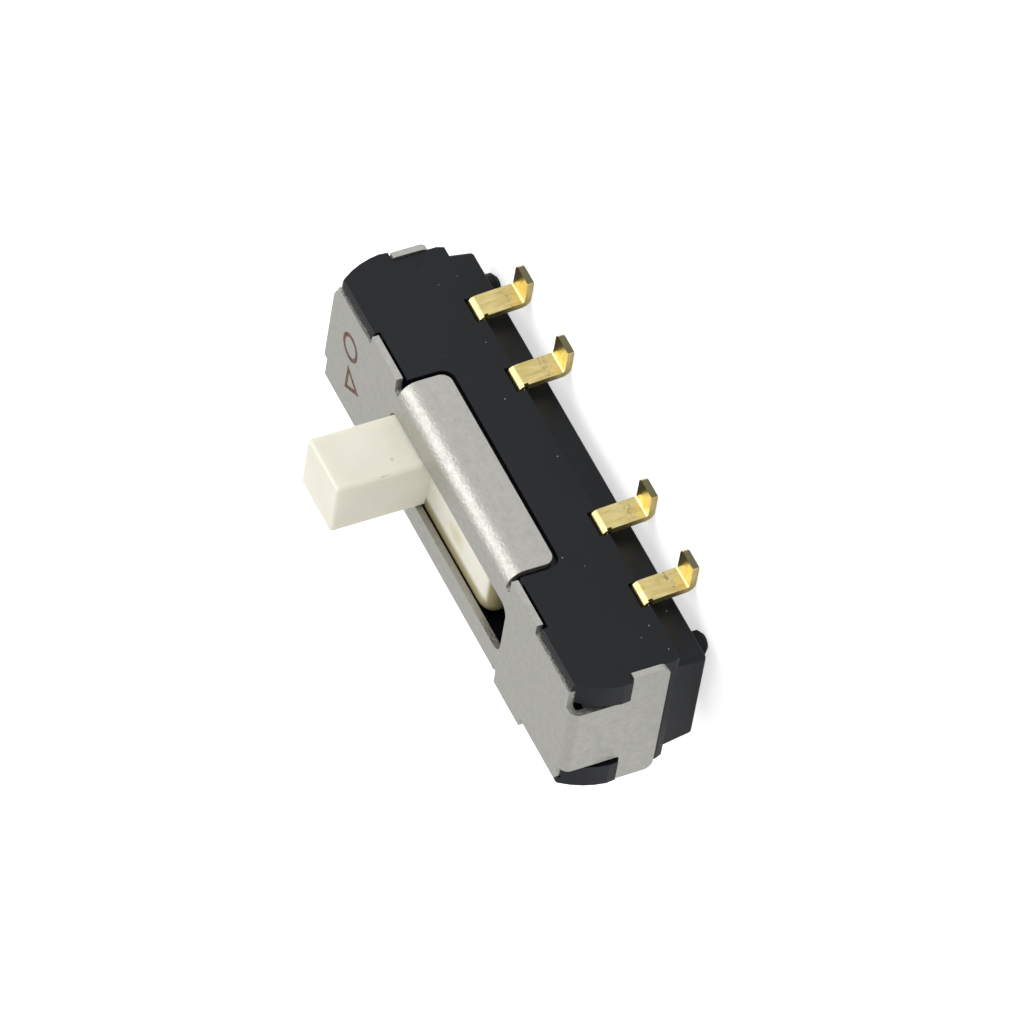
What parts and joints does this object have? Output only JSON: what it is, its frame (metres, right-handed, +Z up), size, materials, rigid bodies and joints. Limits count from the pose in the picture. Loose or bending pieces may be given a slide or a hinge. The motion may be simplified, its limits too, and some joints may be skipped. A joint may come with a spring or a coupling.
{
  "type": "slide switch",
  "caption": "Miniature surface-mount slide switch: black moulded base, folded steel cover, ivory lever and gull-wing terminals along one side.",
  "frame": {"origin": "on the board plane, under the middle of the housing", "axes": "+Z up along the lever, +X along the housing towards the end where the lever rests, the terminals leave towards -Y"},
  "size_m": [0.0122, 0.0041, 0.0055],
  "materials": {
    "housing": "black moulded thermoplastic, smooth",
    "cover": "satin rolled sheet, brighter on the bends",
    "slider": "ivory moulded nylon, satin",
    "contact_clip": "bright spring strip",
    "detent_ball": "polished steel ball",
    "detent_spring": "bright drawn wire",
    "terminals": "thin gold plating, smooth"
  },
  "bodies": {
    "base": {"housing": "housing", "cover": "cover", "terminal_1": "terminals", "terminal_2": "terminals", "terminal_3": "terminals", "terminal_4": "terminals"},
    "slide": {"slider": "slider", "contact_clip": "contact_clip", "detent_ball": "detent_ball", "detent_spring": "detent_spring"}
  },
  "joints": [
    {"name": "lever_slide", "type": "slide", "parent": "base", "child": "slide", "axis": [-1, 0, 0], "range_m": [0, 0.004]}
  ]
}
